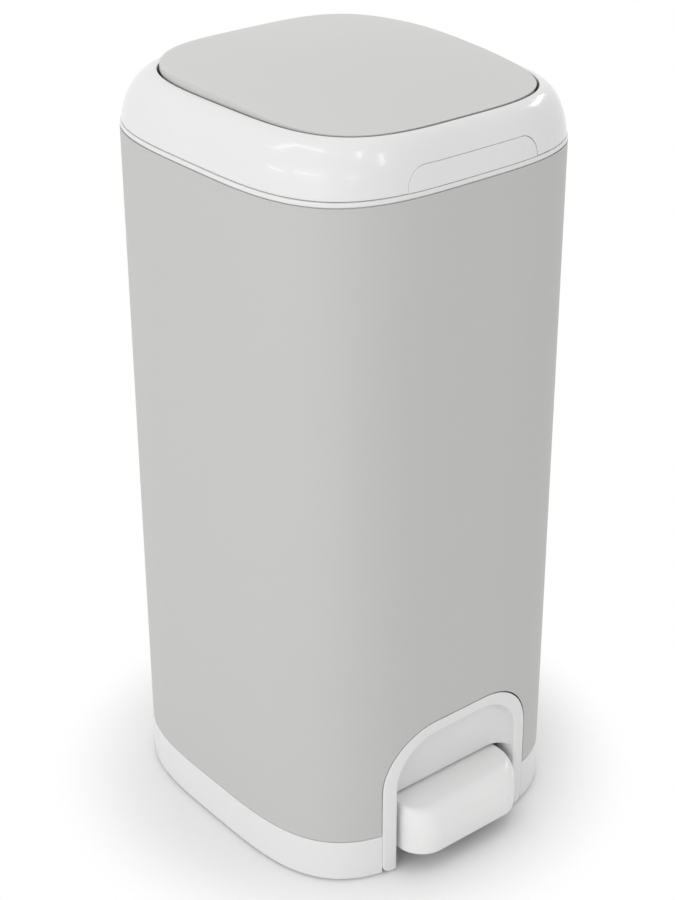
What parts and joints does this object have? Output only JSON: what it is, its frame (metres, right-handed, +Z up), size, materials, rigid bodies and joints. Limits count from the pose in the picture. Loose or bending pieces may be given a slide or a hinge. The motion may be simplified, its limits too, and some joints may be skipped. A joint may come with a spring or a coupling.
{
  "type": "nappy bin",
  "caption": "Rounded steel pedal bin for nappies on a moulded base: a hinged head with a front release tab holds the film cassette, sprung throat flaps and a domed lid that the pedal lifts.",
  "frame": {"origin": "on the floor, under the middle of the sleeve", "axes": "+Z up, -Y to the front with the pedal, +X to the right of somebody who faces the bin's back"},
  "size_m": [0.272, 0.326, 0.6232],
  "materials": {
    "sleeve_paint": "satin",
    "shell_plastic": "satin gloss",
    "lid_plastic": "satin",
    "inner_plastic": "fine grain",
    "bracket_paint": "satin",
    "steel": "zinc plated",
    "dark_rubber": "matt",
    "clip_plastic": "matt",
    "cassette_plastic": "glossy",
    "filter_felt": "felt"
  },
  "bodies": {
    "body": {"body_shell": "sleeve_paint", "top_rim": "shell_plastic", "base_skirt": "shell_plastic", "pedal_surround": "shell_plastic", "pail_floor": "inner_plastic", "rubber_feet": "dark_rubber", "floor_screws": "steel", "pedal_axle": "steel", "axle_clips": "clip_plastic", "pedal_spring": "steel", "rod_channel": "inner_plastic", "rod_guides": "inner_plastic", "hinge_bracket": "bracket_paint", "hinge_pin": "steel", "bracket_rivets": "steel", "latch_keeper": "steel"},
    "pedal": {"pedal": "shell_plastic", "pedal_lever": "steel", "pedal_screws": "steel"},
    "rod": {"lift_rod": "steel", "rod_foot": "inner_plastic", "lift_arm": "inner_plastic"},
    "head": {"head_collar": "shell_plastic", "cassette_well": "inner_plastic", "refill_cassette": "cassette_plastic", "clamp_frame": "inner_plastic", "flap_pins": "steel", "flap_spring_left": "steel", "flap_spring_right": "steel", "hinge_arms": "inner_plastic", "lid_pin": "steel", "head_screws": "steel", "latch_spring": "steel"},
    "flap_left": {"flap_left": "inner_plastic"},
    "flap_right": {"flap_right": "inner_plastic"},
    "latch": {"release_tab": "shell_plastic", "latch_hook": "inner_plastic"},
    "lid": {"lid_cover": "lid_plastic", "lid_liner": "inner_plastic", "lid_seal": "dark_rubber", "lid_crank": "inner_plastic", "crank_screws": "steel", "carbon_filter": "filter_felt", "filter_cover": "inner_plastic"}
  },
  "joints": [
    {"name": "lid_open", "type": "hinge", "parent": "head", "child": "lid", "pos_m": [0, 0.112, 0.606], "axis": [-1, 0, 0], "range_deg": [0, 76]},
    {"name": "rod_lift", "type": "slide", "parent": "body", "child": "rod", "axis": [0, 0, 1], "range_m": [0, 0.02956]},
    {"name": "pedal_press", "type": "hinge", "parent": "body", "child": "pedal", "pos_m": [0, -0.075, 0.036], "axis": [1, 0, 0], "range_deg": [0, 8.23], "stiffness_Nm_per_rad": 0.2, "springref_deg": -28.65, "deforming": ["pedal_spring"]},
    {"name": "head_open", "type": "hinge", "parent": "body", "child": "head", "pos_m": [0, 0.154, 0.57], "axis": [-1, 0, 0], "range_deg": [0, 85]},
    {"name": "flap_left_open", "type": "hinge", "parent": "head", "child": "flap_left", "pos_m": [-0.055, -0.014, 0.5419], "axis": [0, 1, 0], "range_deg": [0, 75], "stiffness_Nm_per_rad": 0.01, "springref_deg": -57.3, "deforming": ["flap_spring_left"]},
    {"name": "flap_right_open", "type": "hinge", "parent": "head", "child": "flap_right", "pos_m": [0.055, -0.014, 0.5419], "axis": [0, -1, 0], "range_deg": [0, 75], "stiffness_Nm_per_rad": 0.01, "springref_deg": -57.3, "deforming": ["flap_spring_right"]},
    {"name": "latch_press", "type": "slide", "parent": "head", "child": "latch", "axis": [0, 1, 0], "range_m": [0, 0.003], "stiffness_N_per_m": 400, "springref_m": -0.004, "deforming": ["latch_spring"]}
  ],
  "couplings": [
    {"joint": "rod_lift", "follows": "lid_open", "m_per_rad": 0.022279},
    {"joint": "pedal_press", "follows": "lid_open", "ratio": 0.10824}
  ]
}
